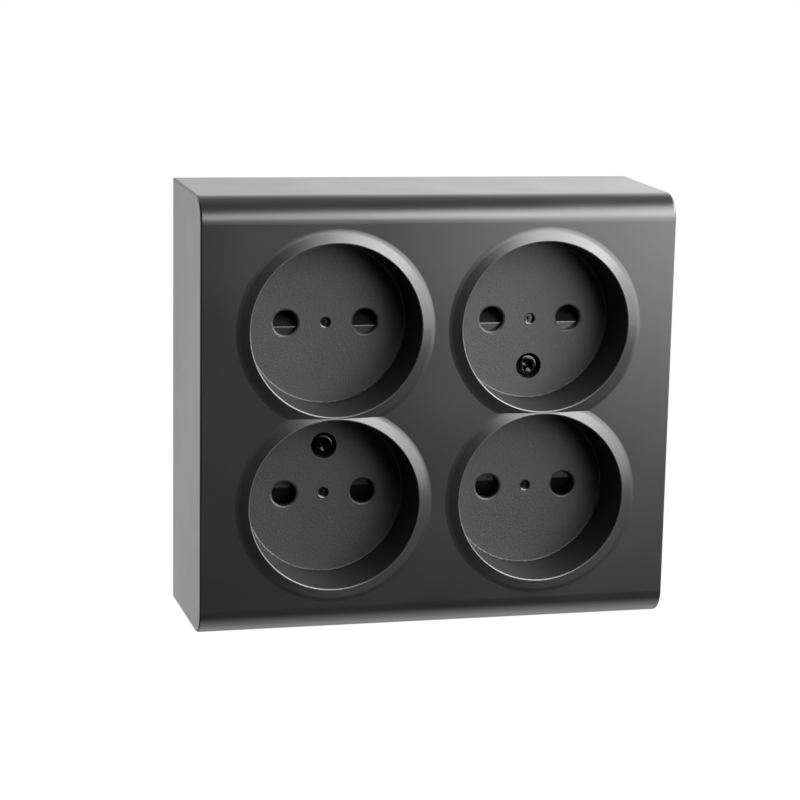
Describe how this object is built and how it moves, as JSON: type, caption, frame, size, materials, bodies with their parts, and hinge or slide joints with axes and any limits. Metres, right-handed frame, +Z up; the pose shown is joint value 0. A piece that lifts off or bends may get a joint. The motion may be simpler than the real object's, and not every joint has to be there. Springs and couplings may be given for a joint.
{
  "type": "surface mount quad socket",
  "caption": "Box-shaped surface socket outlet with round recessed wells in two rows, shuttered pin holes, raised rims and rounded top and bottom front edges.",
  "frame": {"origin": "middle of the flat back of the base plate, which lies on the wall", "axes": "+Y into the wall, +X to the right as seen from the front, +Z up; the pin holes face -Y"},
  "size_m": [0.1142, 0.0401, 0.104],
  "materials": {
    "cover_plastic": "satin anthracite",
    "base_plastic": "matt black-grey",
    "shutter_plastic": "smooth anthracite",
    "guide_plastic": "matt dark grey",
    "black_steel": "glossy black-plated steel",
    "zinc_steel": "bright zinc-plated steel",
    "spring_steel": "drawn spring wire",
    "brass": "stamped brass",
    "contact_bronze": "rolled phosphor bronze"
  },
  "bodies": {
    "socket_body": {"base_plate": "base_plastic", "cover_screw_left": "black_steel", "cover_screw_right": "black_steel", "front_cover": "cover_plastic", "guide_screws_lower_left": "zinc_steel", "guide_screws_lower_right": "zinc_steel", "guide_screws_upper_left": "zinc_steel", "guide_screws_upper_right": "zinc_steel", "live_busbar": "brass", "live_busbar_screws": "zinc_steel", "live_contact_lower_left": "contact_bronze", "live_contact_lower_right": "contact_bronze", "live_contact_rivets": "zinc_steel", "live_contact_upper_left": "contact_bronze", "live_contact_upper_right": "contact_bronze", "live_terminal": "brass", "live_terminal_screw": "zinc_steel", "neutral_busbar": "brass", "neutral_busbar_screws": "zinc_steel", "neutral_contact_lower_left": "contact_bronze", "neutral_contact_lower_right": "contact_bronze", "neutral_contact_rivets": "zinc_steel", "neutral_contact_upper_left": "contact_bronze", "neutral_contact_upper_right": "contact_bronze", "neutral_terminal": "brass", "neutral_terminal_screw": "zinc_steel", "screw_insert_left": "brass", "screw_insert_right": "brass", "shutter_guide_lower_left": "guide_plastic", "shutter_guide_lower_right": "guide_plastic", "shutter_guide_upper_left": "guide_plastic", "shutter_guide_upper_right": "guide_plastic", "shutter_spring_lower_left": "spring_steel", "shutter_spring_lower_right": "spring_steel", "shutter_spring_upper_left": "spring_steel", "shutter_spring_upper_right": "spring_steel"},
    "shutter_upper_left_body": {"shutter_upper_left": "shutter_plastic"},
    "shutter_upper_right_body": {"shutter_upper_right": "shutter_plastic"},
    "shutter_lower_left_body": {"shutter_lower_left": "shutter_plastic"},
    "shutter_lower_right_body": {"shutter_lower_right": "shutter_plastic"}
  },
  "joints": [
    {"name": "shutter_upper_left_slide", "type": "slide", "parent": "socket_body", "child": "shutter_upper_left_body", "axis": [0, 0, -1], "range_m": [0, 0.0062], "stiffness_N_per_m": 60, "springref_m": -0.003, "deforming": ["shutter_spring_upper_left"]},
    {"name": "shutter_upper_right_slide", "type": "slide", "parent": "socket_body", "child": "shutter_upper_right_body", "axis": [0, 0, -1], "range_m": [0, 0.0062], "stiffness_N_per_m": 60, "springref_m": -0.003, "deforming": ["shutter_spring_upper_right"]},
    {"name": "shutter_lower_left_slide", "type": "slide", "parent": "socket_body", "child": "shutter_lower_left_body", "axis": [0, 0, 1], "range_m": [0, 0.0062], "stiffness_N_per_m": 60, "springref_m": -0.003, "deforming": ["shutter_spring_lower_left"]},
    {"name": "shutter_lower_right_slide", "type": "slide", "parent": "socket_body", "child": "shutter_lower_right_body", "axis": [0, 0, 1], "range_m": [0, 0.0062], "stiffness_N_per_m": 60, "springref_m": -0.003, "deforming": ["shutter_spring_lower_right"]}
  ]
}
